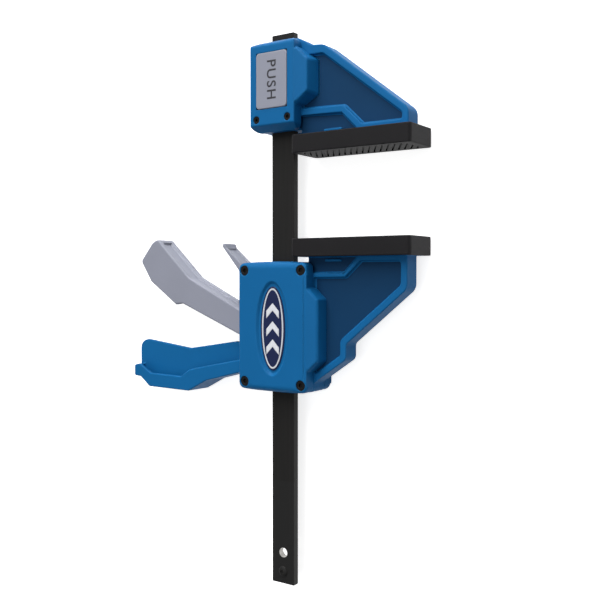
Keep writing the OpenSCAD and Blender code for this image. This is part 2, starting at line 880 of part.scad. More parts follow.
// The trigger's outlines, from its pivot. Its back is a line from the hub to the tip.
trigger_back = [[-4, 5.7], [-20.6, 16.9], [-71.9, 41.2], [-106.4, 73.1]];
trigger_outline = [
    [-125.3, 55, 3], [-114, 38, 4], [-86.1, 19, 1.5], [-79, 20.1, 3], [-20.7, -2.9, 3],
    [nose_off.x - 1, nose_off.y - nose_r + 1, 1.5], [1, -4, 0], [1, 3.6, 0],
    [trigger_back[1].x, trigger_back[1].y, 6], [trigger_back[2].x, trigger_back[2].y, 12],
    [trigger_back[3].x, trigger_back[3].y, 3], [-112.5, 70.1, 3]
];
hollow_line = [[-111, 66.5], [-106, 69.9], trigger_back[2] + [-1, 0], trigger_back[1], [-11, 10.5]];
hollow_foot = [[-10.5, -14.5], [-83, -14.5], [-118, 25.5], [-122.6, 52.5]];
groove_line = [[-103.5, 70.4], trigger_back[2], trigger_back[1], [-13, 12.5]];
groove_rise = 6;

module trigger() {
    hollow = concat(beside(hollow_line, -trigger_groove - trigger_wall), hollow_foot);
    groove = concat(beside(groove_line, groove_rise), reversed(beside(groove_line, -trigger_groove)));
    edge_r = 1.3;
    color(GREY)
        at_jaw()
            translate(trigger_pivot)
                difference() {
                    union() {
                        soft_plate(trigger_outline, -trigger_half, trigger_half, edge_r, edge_r);
                        rod([0, 0], trigger_hub_r, -trigger_half, trigger_half);
                        rod(nose_off, nose_r, edge_r - trigger_half, trigger_half - edge_r);
                    }
                    translate([0, 0, trigger_wall - trigger_half])
                        linear_extrude(2 * (trigger_half - trigger_wall))
                            polygon(hollow);
                    translate([0, 0, -trigger_groove_half])
                        linear_extrude(2 * trigger_groove_half)
                            polygon(groove);
                    rod([0, 0], trigger_pin_d / 2 + pin_clear, -big, big);
                }
}

module trigger_pin() {
    color(ZINC)
        at_jaw()
            rod(trigger_pivot, trigger_pin_d / 2, 2 * rest_gap - pocket_end, pocket_end - 2 * rest_gap);
}

// A steel plate with a window for the bar, lying flat with its lower face at height 0
module jam_plate(left, right, thickness, clear) {
    w = bar_w / 2 + clear;
    t = bar_t / 2 + clear;
    translate([0, thickness, 0])
        rotate([90, 0, 0])
            difference() {
                plate([[left, -plate_half, 2], [right, -plate_half, 2], [right, plate_half, 2], [left, plate_half, 2]],
                    0, thickness);
                translate([-w, -t, -1])
                    cube([2 * w, 2 * t, thickness + 2]);
            }
}

module drive_plate_upper() {
    color(ZINC)
        at_jaw()
            translate([0, drive_top - drive_plate_t, 0])
                jam_plate(drive_left, drive_right, drive_plate_t, plate_clear);
}

module drive_plate_lower() {
    color(ZINC)
        at_jaw()
            translate([0, drive_low, 0])
                jam_plate(drive_left, drive_right, drive_plate_t, plate_clear);
}

module drive_spring() {
    length = drive_low - room_floor;
    color(ZINC)
        at_jaw()
            translate([0, room_floor, 0])
                coil(drive_spring_r, drive_wire, length, length / drive_pitch);
}

// Release lever and brake

// The release lever's outlines, from its pivot
release_outline = [
    [-37.6, 30, 1.5], [-21.4, 11.2, 8], [-16.4, -1.4, 5],
    [release_nose_off.x - 1, release_nose_off.y - release_nose_r + 0.6, 1], [0.5, -3, 0], [0.5, 2.6, 0],
    [-12.8, 4.4, 3], [-19.2, 17.2, 8], [-33.8, 29.4, 1.2], [-35, 32.5, 0.8], [-37.4, 32.4, 1]
];
thumb_line = [[-33.4, 29.2], [-19.2, 17.4], [-15, 10]];
thumb_rise = 3;
thumb_wall = 1.6;

module release_lever() {
    thumb = concat(beside(thumb_line, -thumb_deep), reversed(beside(thumb_line, thumb_rise)));
    edge_r = 0.8;
    color(GREY)
        at_jaw()
            translate(release_pivot)
                difference() {
                    union() {
                        soft_plate(release_outline, -release_half, release_half, edge_r, edge_r);
                        rod([0, 0], release_hub_r, rest_gap - release_half, release_half - rest_gap);
                        rod(release_nose_off, release_nose_r, edge_r - release_half, release_half - edge_r);
                    }
                    translate([0, 0, thumb_wall - release_half])
                        linear_extrude(2 * (release_half - thumb_wall))
                            polygon(reversed(thumb));
                    rod([0, 0], release_pin_d / 2 + pin_clear, -big, big);
                }
}

module release_pin() {
    color(ZINC)
        at_jaw()
            rod(release_pivot, release_pin_d / 2, 2 * rest_gap - pocket_end, pocket_end - 2 * rest_gap);
}

module brake_plate() {
    color(ZINC)
        at_jaw()
            translate([brake_hinge.x, brake_hinge.y, 0])
                rotate([0, 0, -brake_tilt])
                    translate([-brake_hinge.x, -brake_plate_t / 2, 0])
                        jam_plate(brake_left, brake_hinge.x + 0.6, brake_plate_t, plate_clear);
}

module brake_spring() {
    reach = brake_hinge.x - brake_spring_x - brake_spring_r;
    plate_low = brake_hinge.y + reach * tan(brake_tilt) - brake_plate_t / 2;
    length = plate_low - shelf_high - rest_gap;
    color(ZINC)
        at_jaw()
            translate([brake_spring_x, shelf_high, 0])
                coil(brake_spring_r, brake_wire, length, 4);
}

bar();
stop_rivet();
fixed_jaw();
head_front_cover();
head_back_cover();
head_screws();
push_button();
lock_plunger();
lock_spring();
fixed_pad();
moving_jaw();
front_cover();
back_cover();
cover_screws();
oval_inlay();
moving_pad();
trigger();
trigger_pin();
drive_plate_upper();
drive_plate_lower();
drive_spring();
release_lever();
release_pin();
brake_plate();
brake_spring();
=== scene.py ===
# %% [markdown]
# # A one-handed bar clamp
# A flat black steel bar carries a fixed jaw at its top. A second jaw, with a pistol handle,
# a trigger and a release lever, walks along the bar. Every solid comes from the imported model,
# so this lesson dresses it: it rounds the moulded edges, adds the small pieces that are too
# fine for the solids, and gives each surface a finish built from nodes. All lengths are in
# metres.

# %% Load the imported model
import json
import math
from collections import namedtuple

import bmesh
import bpy
from mathutils import Matrix, Vector


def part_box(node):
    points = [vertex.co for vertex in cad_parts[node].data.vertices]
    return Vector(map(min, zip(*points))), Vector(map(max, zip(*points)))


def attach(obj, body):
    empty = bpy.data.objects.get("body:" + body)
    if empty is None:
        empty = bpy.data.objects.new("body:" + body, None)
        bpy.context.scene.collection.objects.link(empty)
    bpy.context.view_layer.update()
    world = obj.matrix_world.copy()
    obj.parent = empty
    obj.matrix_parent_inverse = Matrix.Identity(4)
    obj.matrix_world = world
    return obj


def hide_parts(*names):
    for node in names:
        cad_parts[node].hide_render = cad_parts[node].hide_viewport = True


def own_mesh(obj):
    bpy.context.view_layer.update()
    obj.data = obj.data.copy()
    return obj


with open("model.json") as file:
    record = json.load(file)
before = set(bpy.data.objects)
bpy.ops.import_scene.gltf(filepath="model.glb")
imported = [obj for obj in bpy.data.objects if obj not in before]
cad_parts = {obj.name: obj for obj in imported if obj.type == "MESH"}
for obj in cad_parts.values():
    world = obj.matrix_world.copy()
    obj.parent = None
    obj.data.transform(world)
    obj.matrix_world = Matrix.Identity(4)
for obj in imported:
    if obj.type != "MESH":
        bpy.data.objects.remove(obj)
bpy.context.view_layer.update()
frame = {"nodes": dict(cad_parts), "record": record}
nodes = frame["nodes"]
scene = bpy.context.scene
scene.view_settings.view_transform = "Standard"

# %% [markdown]
# ## The camera
# The photograph shows the clamp upright, seen from its right and from slightly below the
# fixed jaw. Here the clamp lies on its back, with +Y along the bar, so the camera keeps +Y
# as its up direction and looks down on the clamp at the same angle. The place and the lens
# were worked out from the straight edges of the bar and the covers.

# %% Camera
TURN, DIP = 34.2135, 1.5482  # degrees round to the clamp's right, and down from level
PLACE = Vector((0.3711, 0.2101, 0.5257))
LENS_MM, SENSOR_MM = 50.85, 36


def aim(turn, dip):
    """The camera's right, up and forward directions for a turn and a dip in degrees."""
    a, p = math.radians(turn), math.radians(dip)
    right = Vector((math.cos(a), 0, -math.sin(a)))
    forward = Vector((-math.sin(a) * math.cos(p), -math.sin(p), -math.cos(a) * math.cos(p)))
    return right, right.cross(forward), forward


camera = bpy.data.objects.new("camera", bpy.data.cameras.new("camera"))
scene.collection.objects.link(camera)
scene.camera = camera
camera.data.sensor_width = SENSOR_MM
camera.data.lens = LENS_MM
right, up, forward = aim(TURN, DIP)
camera.matrix_world = Matrix((
    (right.x, up.x, -forward.x, PLACE.x),
    (right.y, up.y, -forward.y, PLACE.y),
    (right.z, up.z, -forward.z, PLACE.z),
    (0, 0, 0, 1)))
print("camera stands", round(PLACE.length * 1000), "mm from the origin")

# %% [markdown]
# ## Tools for nodes
# Every finish is a small tree of nodes. A few helpers keep the trees short: one makes a
# material, one adds a node with its settings, one does a step of arithmetic and one blends
# two colours. Colours are written as they look on a screen and turned into linear values.

# %% Node helpers
FLOAT, COLOUR = "NodeSocketFloat", "NodeSocketColor"


def colour_of(red, green, blue):
    """A screen colour, 0 to 255, as the linear colour that a shader takes."""
    def linear(v):
        v /= 255
        return v / 12.92 if v <= 0.04045 else ((v + 0.055) / 1.055) ** 2.4
    return (linear(red), linear(green), linear(blue), 1.0)


def new_material(name):
    """A material with its node tree and its Principled shader."""
    material = bpy.data.materials.new(name)
    material.use_nodes = True
    return material, material.node_tree, material.node_tree.nodes["Principled BSDF"]


def new_group(name, inputs, outputs):
    """An empty shader node group with named sockets."""
    g = bpy.data.node_groups.new(name, "ShaderNodeTree")
    for label, kind, value in inputs:
        socket = g.interface.new_socket(name=label, in_out="INPUT", socket_type=kind)
        socket.default_value = value
    for label, kind in outputs:
        g.interface.new_socket(name=label, in_out="OUTPUT", socket_type=kind)
    return g, g.nodes.new("NodeGroupInput"), g.nodes.new("NodeGroupOutput")


def add(tree, kind, **values):
    """A node with its settings. Socket values are given by their label."""
    n = tree.nodes.new(kind)
    for key, value in values.items():
        if hasattr(n, key):
            setattr(n, key, value)
        else:
            n.inputs[key.replace("_", " ")].default_value = value
    return n


def add_group(tree, g, **values):
    """A node that stands for a group, with values for its sockets."""
    n = tree.nodes.new("ShaderNodeGroup")
    n.node_tree = g
    for key, value in values.items():
        n.inputs[key.replace("_", " ")].default_value = value
    return n


def maths(tree, operation, a, b):
    """One step of arithmetic. a and b are sockets or numbers."""
    n = tree.nodes.new("ShaderNodeMath")
    n.operation = operation
    for socket, value in zip(n.inputs, (a, b)):
        if isinstance(value, (int, float)):
            socket.default_value = value
        else:
            tree.links.new(value, socket)
    return n.outputs[0]


def mix(tree, factor, a, b):
    """A blend of two colours."""
    n = tree.nodes.new("ShaderNodeMix")
    n.data_type = "RGBA"
    for label, value in (("Factor", factor), ("A", a), ("B", b)):
        if isinstance(value, (int, float, tuple)):
            n.inputs[label].default_value = value
        else:
            tree.links.new(value, n.inputs[label])
    return n.outputs["Result"]


def around(tree, value, size):
    """A noise of 0 to 1, shifted to run around zero and scaled."""
    return maths(tree, "MULTIPLY", maths(tree, "SUBTRACT", value, 0.5), size)


print("screen grey 128 is linear", round(colour_of(128, 128, 128)[0], 3))

# %% [markdown]
# ## Floor and light
# The floor is a pale sheet just under the clamp. Its colour is lifted for the camera, so the
# background is white without more light falling on the clamp. The light is a pale world and
# three large lamps, like the soft boxes of a studio: they give broad, gentle highlights on
# the rounded edges and hardly any dark shadow.

# %% Floor
CLAMP_BACK, FLOOR_GAP = -0.0175, 0.00005
FLOOR_Z = CLAMP_BACK - FLOOR_GAP
FLOOR_HALF = 6
PAPER_LIT, PAPER_SEEN = (0.62, 0.62, 0.63, 1), (0.92, 0.92, 0.92, 1)
PAPER_LIFT = 0.75

floor_mesh = bpy.data.meshes.new("floor")
bm = bmesh.new()
bmesh.ops.create_grid(bm, x_segments=1, y_segments=1, size=FLOOR_HALF)
bmesh.ops.translate(bm, verts=bm.verts, vec=(0, 0, FLOOR_Z))
bm.to_mesh(floor_mesh)
bm.free()
floor = bpy.data.objects.new("floor", floor_mesh)
scene.collection.objects.link(floor)
paper, tree, shader = new_material("studio_paper")
shader.inputs["Roughness"].default_value = 0.9
shader.inputs["Specular IOR Level"].default_value = 0.1
rays = add(tree, "ShaderNodeLightPath")
seen = maths(tree, "MAXIMUM", rays.outputs["Is Camera Ray"], rays.outputs["Is Transmission Ray"])
seen = maths(tree, "MAXIMUM", seen, rays.outputs["Is Glossy Ray"])
tree.links.new(mix(tree, seen, PAPER_LIT, PAPER_SEEN), shader.inputs["Base Color"])
tree.links.new(maths(tree, "MULTIPLY", seen, PAPER_LIFT), shader.inputs["Emission Strength"])
shader.inputs["Emission Color"].default_value = (1, 1, 1, 1)
floor_mesh.materials.append(paper)
print("floor at", round(FLOOR_Z * 1000, 2), "mm")

# %% Lamps and world
CLAMP_MIDDLE = (-0.02, 0.18, 0.0)
LAMP_SIZE = 2.0


def soft_box(name, at, power):
    """A large square lamp that points at the middle of the clamp."""
    lamp = bpy.data.lights.new(name, "AREA")
    lamp.shape = "SQUARE"
    lamp.size = LAMP_SIZE
    lamp.energy = power
    box = bpy.data.objects.new(name, lamp)
    scene.collection.objects.link(box)
    box.location = at
    box.rotation_mode = "QUATERNION"
    box.rotation_quaternion = (Vector(CLAMP_MIDDLE) - Vector(at)).to_track_quat("-Z", "Y")


soft_box("key", (-0.3, 2.1, 2.1), 50)
soft_box("top", (-0.1, 2.9, 0.5), 62)
soft_box("front", (0.3, -0.3, 2.9), 13)
world = bpy.data.worlds.new("studio")
scene.world = world
world.use_nodes = True
sky = world.node_tree
toward = add(sky, "ShaderNodeTexCoord")
height = add(sky, "ShaderNodeSeparateXYZ")
sky.links.new(toward.outputs["Generated"], height.inputs[0])
upward = add(sky, "ShaderNodeMapRange", From_Min=-1.0, To_Min=0.10, To_Max=0.50)
sky.links.new(height.outputs["Y"], upward.inputs["Value"])
sky.links.new(upward.outputs["Result"], sky.nodes["Background"].inputs["Strength"])
sky.nodes["Background"].inputs["Color"].default_value = (1, 1, 1, 1)

# %% [markdown]
# ## Shared effects
# Three effects return in several finishes, so each is a group with named sockets. Moulded
# plastic has a fine spark-eroded grain and slight changes of tone. Edges are a little paler
# and smoother: partly wear, where the grain goes first on handled edges, and partly a painted
# highlight along the rims. Drawn steel has streaks that run along the bar.

# %% Grain of moulded plastic
grain_group, g_in, g_out = new_group(
    "moulded_grain",
    [("Colour", COLOUR, (0.5, 0.5, 0.5, 1)), ("Grain per metre", FLOAT, 2600.0),
     ("Tone change", FLOAT, 0.06), ("Roughness", FLOAT, 0.45)],
    [("Colour", COLOUR), ("Roughness", FLOAT), ("Height", FLOAT)])
t = grain_group
where = add(t, "ShaderNodeTexCoord")
fine = add(t, "ShaderNodeTexNoise", Detail=2.0)
t.links.new(where.outputs["Object"], fine.inputs["Vector"])
t.links.new(g_in.outputs["Grain per metre"], fine.inputs["Scale"])
broad = add(t, "ShaderNodeTexNoise", Scale=38.0, Detail=3.0)
t.links.new(where.outputs["Object"], broad.inputs["Vector"])
shade = around(t, broad.outputs["Fac"], g_in.outputs["Tone change"])
bright = add(t, "ShaderNodeHueSaturation")
t.links.new(g_in.outputs["Colour"], bright.inputs["Color"])
t.links.new(maths(t, "ADD", 1.0, maths(t, "MULTIPLY", shade, 2.0)), bright.inputs["Value"])
t.links.new(bright.outputs["Color"], g_out.inputs["Colour"])
uneven = around(t, fine.outputs["Fac"], 0.12)
rough = maths(t, "ADD", g_in.outputs["Roughness"], uneven)
t.links.new(rough, g_out.inputs["Roughness"])
t.links.new(fine.outputs["Fac"], g_out.inputs["Height"])
print("group:", grain_group.name)

# %% Wear and painted highlight on edges
edge_wear_and_highlight_group, w_in, w_out = new_group(
    "handled_edges_and_painted_highlight",
    [("Edge width", FLOAT, 0.0012), ("Patchiness", FLOAT, 0.5)],
    [("Mask", FLOAT)])
t = edge_wear_and_highlight_group
edge = add(t, "ShaderNodeBevel", samples=6)
t.links.new(w_in.outputs["Edge width"], edge.inputs["Radius"])
surface = add(t, "ShaderNodeNewGeometry")
dot = add(t, "ShaderNodeVectorMath", operation="DOT_PRODUCT")
t.links.new(edge.outputs["Normal"], dot.inputs[0])
t.links.new(surface.outputs["Normal"], dot.inputs[1])
turned = maths(t, "MULTIPLY", maths(t, "SUBTRACT", 1.0, dot.outputs["Value"]), 5.0)
where = add(t, "ShaderNodeTexCoord")
patch = add(t, "ShaderNodeTexNoise", Scale=260.0, Detail=4.0)
t.links.new(where.outputs["Object"], patch.inputs["Vector"])
spread = maths(t, "ADD", around(t, patch.outputs["Fac"], w_in.outputs["Patchiness"]), 1.0)
clamped = add(t, "ShaderNodeClamp")
t.links.new(maths(t, "MULTIPLY", turned, spread), clamped.inputs["Value"])
t.links.new(clamped.outputs["Result"], w_out.inputs["Mask"])
print("group:", edge_wear_and_highlight_group.name)

# %% Streaks of drawn steel
streak_group, s_in, s_out = new_group(
    "drawn_streaks",
    [("Across per metre", FLOAT, 2200.0), ("Along per metre", FLOAT, 12.0)],
    [("Streaks", FLOAT), ("Broad", FLOAT)])
t = streak_group
where = add(t, "ShaderNodeTexCoord")
axes = add(t, "ShaderNodeSeparateXYZ")
t.links.new(where.outputs["Object"], axes.inputs[0])
scaled = add(t, "ShaderNodeCombineXYZ")
for axis, rate in (("X", "Across per metre"), ("Y", "Along per metre"), ("Z", "Across per metre")):
    t.links.new(maths(t, "MULTIPLY", axes.outputs[axis], s_in.outputs[rate]), scaled.inputs[axis])
lines = add(t, "ShaderNodeTexNoise", Scale=1.0, Detail=3.0)
t.links.new(scaled.outputs[0], lines.inputs["Vector"])
wide = add(t, "ShaderNodeTexNoise", Scale=0.12, Detail=2.0)
t.links.new(scaled.outputs[0], wide.inputs["Vector"])
t.links.new(lines.outputs["Fac"], s_out.inputs["Streaks"])
t.links.new(wide.outputs["Fac"], s_out.inputs["Broad"])
print("group:", streak_group.name)

# %% [markdown]
# ## Finishes
# Each finish is one material. The plastics share one recipe with their own colour and grain.
# A Bevel node rounds the shading of edges that are too small to model, and feeds the bump
# of the grain, so that the light rolls over every moulded corner. The level is the strength
# of the reflection: low for the matt blue and the rubber, higher for the satin grey.

# %% Moulded plastics
SHADED_EDGE = 0.0010


def moulded(name, colour, edge_highlight_colour, roughness, grain, depth, tone=0.06, level=0.45):
    """Moulded plastic or rubber with grain, slight tone changes and paler edges, partly wear and
    partly painted highlight.
    """
    material, tree, shader = new_material(name)
    shader.inputs["Specular IOR Level"].default_value = level
    skin = add_group(tree, grain_group, Colour=colour, Grain_per_metre=grain, Tone_change=tone,
                     Roughness=roughness)
    edge_mask = add_group(tree, edge_wear_and_highlight_group, Edge_width=SHADED_EDGE)
    # The paler edge colour is partly wear and partly a painted highlight along the rims.
    paint = mix(tree, edge_mask.outputs["Mask"], skin.outputs["Colour"], edge_highlight_colour)
    tree.links.new(paint, shader.inputs["Base Color"])
    polished = maths(tree, "MULTIPLY", edge_mask.outputs["Mask"], 0.08)
    tree.links.new(maths(tree, "SUBTRACT", skin.outputs["Roughness"], polished),
                   shader.inputs["Roughness"])
    soft = add(tree, "ShaderNodeBevel", samples=6, Radius=SHADED_EDGE)
    bump = add(tree, "ShaderNodeBump", Strength=0.35, Distance=depth)
    tree.links.new(skin.outputs["Height"], bump.inputs["Height"])
    tree.links.new(soft.outputs["Normal"], bump.inputs["Normal"])
    tree.links.new(bump.outputs["Normal"], shader.inputs["Normal"])
    material.diffuse_color = colour
    return material


# The second colour of each finish is its paler edge: partly wear, partly painted highlight.
blue = moulded("blue_nylon", colour_of(18, 100, 157), colour_of(36, 120, 180),
               0.5, 2600, 0.00006, level=0.1)
grey = moulded("grey_nylon", colour_of(146, 149, 163), colour_of(186, 188, 198),
               0.44, 3000, 0.00004, level=0.35)
rubber = moulded("black_rubber", colour_of(31, 30, 32), colour_of(39, 38, 40),
                 0.62, 1900, 0.00008, tone=0.12, level=0.15)
# The pocket finish's darker blue is painted shade for the floors of the pockets.
blue_pocket_painted_shade = moulded("blue_nylon_pocket_painted_shade", colour_of(14, 58, 95), colour_of(22, 74, 118),
                      0.6, 1500, 0.0001, level=0.12)
inlay_navy = moulded("inlay_navy", colour_of(20, 32, 74), colour_of(30, 46, 96),
                     0.3, 3000, 0.00001)
print_white = moulded("print_white", colour_of(226, 228, 234), colour_of(232, 234, 238),
                      0.5, 3000, 0.00001)
print_dark = moulded("print_dark", colour_of(52, 52, 58), colour_of(60, 60, 66),
                     0.5, 3000, 0.00001)
print("moulded finishes:", blue.name, grey.name, rubber.name)

# %% [markdown]
# The bar is black-oxide steel. Rolling leaves fine streaks along it. Near the free end the
# surface is plainer, with a clear line where the streaked part begins, because the moving
# jaw never gets that far down. Springs, pins and plates are zinc plated, and the wall of the
# bar's holes is bright.

# %% Steels
STREAK_DEPTH = 0.00002
RUBBED_FROM, RUBBED_BLUR = 0.0551, 0.0002


def steel(name, dark, pale, worn, roughness, metallic, level=0.5, change=None):
    """Drawn steel with streaks along the bar and rubbed edges. Change may alter its tone."""
    material, tree, shader = new_material(name)
    shader.inputs["Metallic"].default_value = metallic
    shader.inputs["Specular IOR Level"].default_value = level
    streaks = add_group(tree, streak_group)
    edge_mask = add_group(tree, edge_wear_and_highlight_group, Edge_width=0.0005, Patchiness=1.2)
    tone = mix(tree, streaks.outputs["Streaks"], dark, pale)
    if change:
        tone = change(tree, tone)
    rubbed = maths(tree, "MULTIPLY", edge_mask.outputs["Mask"], 0.5)
    tree.links.new(mix(tree, rubbed, tone, worn), shader.inputs["Base Color"])
    uneven = around(tree, streaks.outputs["Broad"], 0.25)
    tree.links.new(maths(tree, "ADD", uneven, roughness), shader.inputs["Roughness"])
    bump = add(tree, "ShaderNodeBump", Strength=0.25, Distance=STREAK_DEPTH)
    tree.links.new(streaks.outputs["Streaks"], bump.inputs["Height"])
    tree.links.new(bump.outputs["Normal"], shader.inputs["Normal"])
    return material


def plain_end(tree, tone):
    """Gives the free end of the bar one plain tone, up to the line of the rubbed part."""
    where = add(tree, "ShaderNodeTexCoord")
    axes = add(tree, "ShaderNodeSeparateXYZ")
    tree.links.new(where.outputs["Object"], axes.inputs[0])
    rubbed = add(tree, "ShaderNodeMapRange", clamp=True,
                 From_Min=RUBBED_FROM - RUBBED_BLUR, From_Max=RUBBED_FROM + RUBBED_BLUR)
    tree.links.new(axes.outputs["Y"], rubbed.inputs["Value"])
    return mix(tree, rubbed.outputs["Result"], colour_of(39, 39, 39), tone)


bar_steel = steel("black_bar_steel", colour_of(28, 28, 28), colour_of(44, 43, 42),
                  colour_of(84, 80, 74), 0.5, 0.15, level=0.15, change=plain_end)
bright_steel = steel("bright_steel", colour_of(150, 148, 144), colour_of(190, 188, 184),
                     colour_of(214, 214, 210), 0.3, 0.9)
zinc = steel("zinc_steel", colour_of(150, 150, 148), colour_of(196, 196, 192),
             colour_of(214, 214, 210), 0.34, 0.9)
screw_steel = steel("black_screw_steel", colour_of(20, 20, 20), colour_of(30, 30, 30),
                    colour_of(44, 44, 44), 0.5, 0.2, level=0.2)
print("steels:", bar_steel.name, zinc.name, screw_steel.name)

# %% [markdown]
# ## Moulded jaws and covers
# Real mouldings have no sharp edge: the mould itself is rounded. Many solids have square
# edges, so each gets a merged copy whose sharp edges are bevelled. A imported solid's mesh is
# loose triangles that a bevel can't follow, so the copy's triangles are first joined into
# whole faces. Where a flat face has triangles that lie over each other, it is filled anew.

# %% Whole faces
MERGE, FLAT = 1e-5, math.radians(0.1)
BENT, FOLDED = math.radians(0.6), math.radians(179)


def near(a, b, within=0.00005):
    return abs(a - b) < within


def refill_folds(bm):
    """Fills a flat face anew from its outline where its triangles lie over each other."""
    folds = [e for e in bm.edges if len(e.link_faces) == 2 and e.calc_face_angle(0) > FOLDED]
    for fold in folds:
        if not fold.is_valid:
            continue
        flat, waiting = {}, [fold.link_faces[0]]
        while waiting:
            face = waiting.pop()
            if face in flat:
                continue
            flat[face] = True
            for e in face.edges:
                if len(e.link_faces) == 2 and not BENT < e.calc_face_angle(0) < FOLDED:
                    waiting += [f for f in e.link_faces if f not in flat]
        facing = sum((f.normal * f.calc_area() for f in flat), Vector())
        edges = list(dict.fromkeys(e for f in flat for e in f.edges))
        inner = [e for e in edges if all(f in flat for f in e.link_faces)]
        outline = [e for e in edges if e not in inner]
        bmesh.ops.delete(bm, geom=list(flat), context="FACES_ONLY")
        bmesh.ops.delete(bm, geom=inner, context="EDGES")
        bmesh.ops.triangle_fill(bm, edges=outline, use_beauty=False, normal=facing.normalized())
    return len(folds)


def whole_faces(node):
    """A bmesh of a CAD node with its triangles joined into whole faces."""
    bm = bmesh.new()
    bm.from_mesh(nodes[node].data)
    bmesh.ops.remove_doubles(bm, verts=bm.verts, dist=MERGE)
    folds = refill_folds(bm)
    bmesh.ops.dissolve_limit(bm, angle_limit=FLAT, verts=bm.verts, edges=bm.edges)
    print(node, "folds mended:", folds, "faces:", len(bm.faces))
    return bm


def soften(bm, width, convex, hidden=None, segments=2, turn=50):
    """Bevels the sharp edges of one kind, outer or inner, except where a cover hides them."""
    edges = []
    for e in bm.edges:
        if len(e.link_faces) != 2 or e.calc_face_angle(0) < math.radians(turn):
            continue
        spot = (e.verts[0].co + e.verts[1].co) / 2
        if e.is_convex == convex and not (hidden and hidden(spot)):
            edges.append(e)
    bmesh.ops.bevel(bm, geom=edges, offset=width, offset_type="OFFSET", affect="EDGES",
                    segments=segments, profile=0.5, material=-1, clamp_overlap=False,
                    loop_slide=True)


# %% [markdown]
# A finished copy becomes a piece: it rides on the body of its solid, takes the solid's finish
# and is shown in its place. Its shading is smooth, weighted by the size of the faces, and
# breaks only at edges that turn more than a limit.

# %% Pieces that replace solids
record = frame["record"]
slot_of = {s["node"]: s["material_slot"] for s in record["subparts"]}
body_of = {n: b for b, names in record["behaviour"]["bodies"].items() for n in names}
finish_of = {
    "bar_steel": bar_steel, "zinc_steel": zinc, "blue_plastic": blue, "grey_plastic": grey,
    "black_rubber": rubber, "black_screw": screw_steel, "inlay_plastic": inlay_navy}
for name, solid in nodes.items():
    solid.data.materials.clear()
    solid.data.materials.append(finish_of[slot_of[name]])


def piece_from(bm, name, materials, body, slot, crisp=None, sharp_from=36):
    """Turns a bmesh into a finished piece that rides on a body. Crisp picks sharp edges."""
    mesh = bpy.data.meshes.new(name)
    bm.to_mesh(mesh)
    bm.free()
    for material in materials:
        mesh.materials.append(material)
    piece = bpy.data.objects.new(name, mesh)
    scene.collection.objects.link(piece)
    mesh.polygons.foreach_set("use_smooth", [True] * len(mesh.polygons))
    mesh.set_sharp_from_angle(angle=math.radians(sharp_from))
    for e in mesh.edges if crisp else ():
        start, end = (mesh.vertices[i].co for i in e.vertices)
        if crisp((start + end) / 2):
            e.use_edge_sharp = True
    even = piece.modifiers.new("even shading", "WEIGHTED_NORMAL")
    even.keep_sharp = True
    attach(piece, body)
    print(name, len(mesh.polygons), "faces")
    return piece


def replaced_by(bm, node, *extra, **shading):
    """Lets a softened copy take the place of its solid."""
    slot = slot_of[node]
    piece = piece_from(bm, node + "_soft", [finish_of[slot], *extra], body_of[node], slot,
                       **shading)
    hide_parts(node)


# %% [markdown]
# The jaws are softened in two steps: first the inner edges, at the foot of the rims and ribs,
# then the outer ones. Edges under the covers stay sharp, because nobody sees them, and the
# short snap bars on the webs take a finer edge. The floors of the arms' deep pockets take a
# coarser grain and a darker blue; the darker blue is painted shade for the shade in the pockets.

# %% Jaws
WEB = 0.0046  # height of the web's face above the middle of the clamp
WEB_FROM = 0.02
FOOT_ROUND, RIM_ROUND, SNAP_ROUND = 0.0011, 0.0009, 0.0003
UNDER_COVER = 0.0008
SNAP_X, SNAP_Z, SNAP_HALF = (0.038, 0.056), (0.0042, 0.0078), 0.0014
SNAP_Y = (0.3163, 0.2222)  # on the fixed and on the moving jaw


def under_covers(cover):
    """A test for places that a pair of covers hides, apart from their bulge."""
    low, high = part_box(cover)
    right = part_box("cover_screws")[1].x if cover == "front_cover" else -low.x
    return lambda p: (low.x + UNDER_COVER < p.x < right - UNDER_COVER
                      and low.y + UNDER_COVER < p.y < high.y - UNDER_COVER)


def snap_bar(p):
    """A test for the short snap bars on the webs."""
    return (SNAP_X[0] < p.x < SNAP_X[1] and SNAP_Z[0] < abs(p.z) < SNAP_Z[1]
            and any(near(p.y, y, SNAP_HALF) for y in SNAP_Y))


for node, cover in (("fixed_jaw", "head_front_cover"), ("moving_jaw", "front_cover")):
    bm = whole_faces(node)
    hidden = under_covers(cover)
    soften(bm, FOOT_ROUND, False, lambda p: hidden(p) or snap_bar(p), segments=3, turn=34)
    soften(bm, RIM_ROUND, True, lambda p: hidden(p) or snap_bar(p), segments=3, turn=34)
    soften(bm, SNAP_ROUND, True, lambda p: hidden(p) or not snap_bar(p), turn=34)
    # Faces of the web take the darker pocket finish: painted shade on the pocket floors.
    for f in bm.faces:
        spot = f.calc_center_median()
        if near(abs(spot.z), WEB) and abs(f.normal.z) > 0.99 and spot.x > WEB_FROM:
            f.material_index = 1
    replaced_by(bm, node, blue_pocket_painted_shade)

# %% [markdown]
# The covers already have round outer edges. Their bulges need more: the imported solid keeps
# each bulge as a plain step, while a moulded cover runs on into it without a seam, slopes
# down towards the arm and has a drafted wall. So the corners are moved: the roll beside the
# bulge is lifted flush, the top is tilted, the wall leans in, and its foot reaches the web.
# The oval recess is a little deeper, with a sloping wall and a round rim.

# %% Shape of a bulge
FACE, STEP, CORE = 0.0175, 0.0160, 0.0139  # heights of the face, the bulge and its lower edge
ROLL_DEPTH, WALL_FOOT = 0.0142, 0.004  # lowest heights of the roll and of the bulge's wall
PAST_END = 0.004  # how far above its end on the seam the bulge's corners reach
RUN_OUT = 0.0012  # how far past its ends the lifted part of the roll runs out
SCREW_SPOTS = [Vector((x, y)) for x in (-0.0256, 0.0256) for y in (0.131, 0.215)]
SCREW_RECESS = 0.0042

